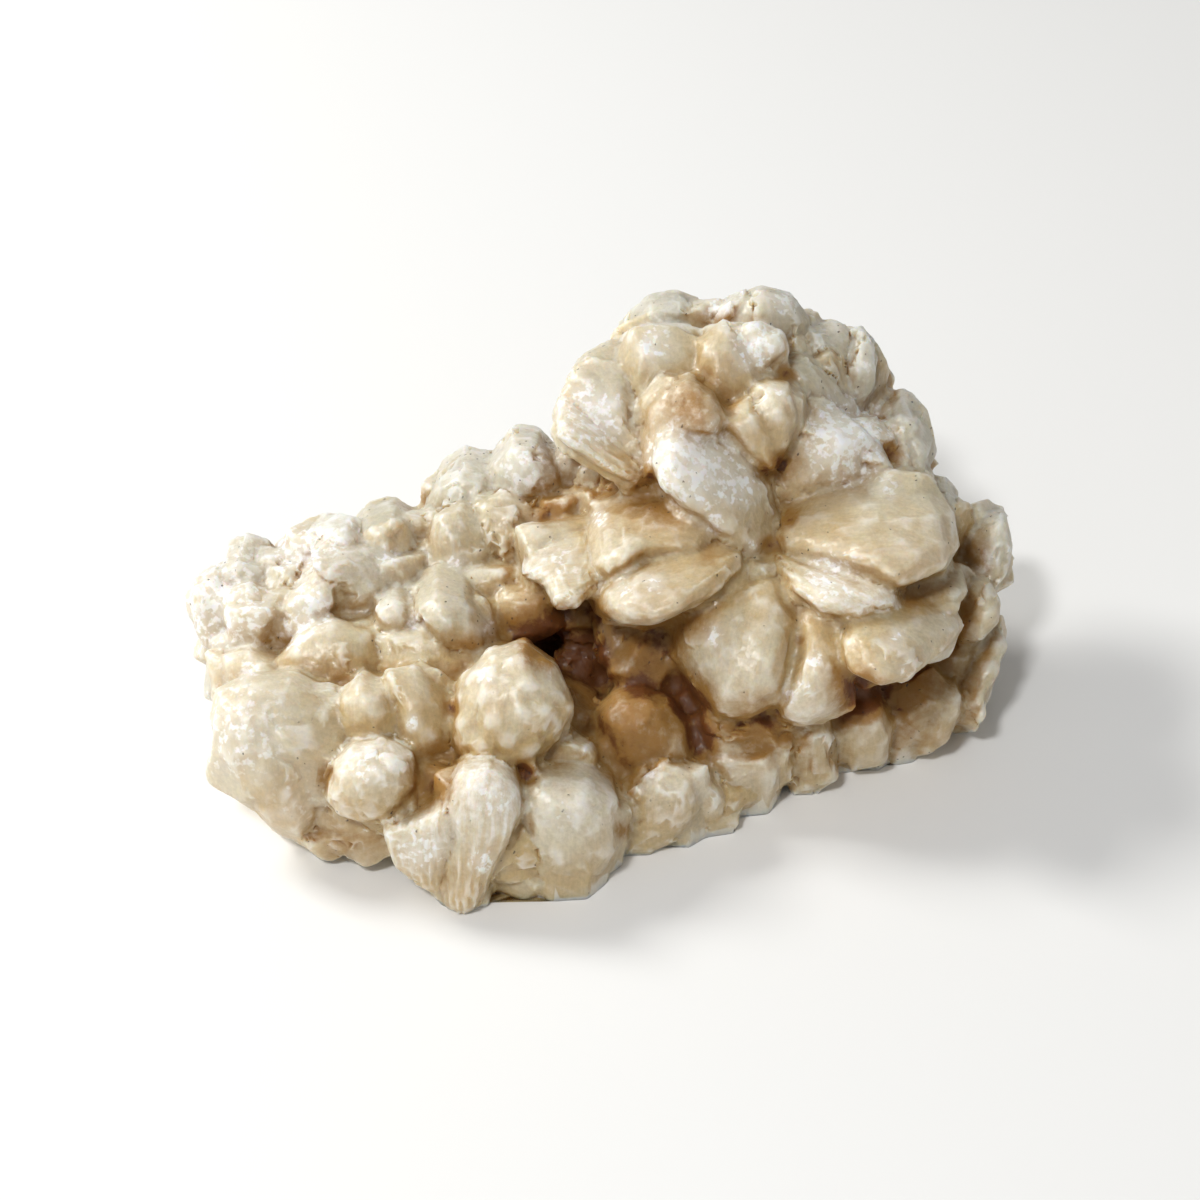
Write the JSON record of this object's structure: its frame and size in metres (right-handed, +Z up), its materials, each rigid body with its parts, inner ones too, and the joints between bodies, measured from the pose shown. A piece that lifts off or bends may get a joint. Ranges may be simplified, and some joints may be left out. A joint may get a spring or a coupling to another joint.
{
  "type": "stilbite cluster",
  "caption": "Hand-sized cluster of intergrown honey-cream stilbite crystals in two petal-like sprays.",
  "frame": {"origin": "on the table, in the flat underside that the specimen rests on, below the middle of the slab", "axes": "+X along the slab, towards the end with the two sprays; -Y towards the low front edge; +Z up from the table"},
  "size_m": [0.105, 0.068, 0.0484],
  "materials": {
    "stilbite": "satin"
  },
  "bodies": {
    "root": {"stilbite_cluster": "stilbite"}
  },
  "joints": []
}
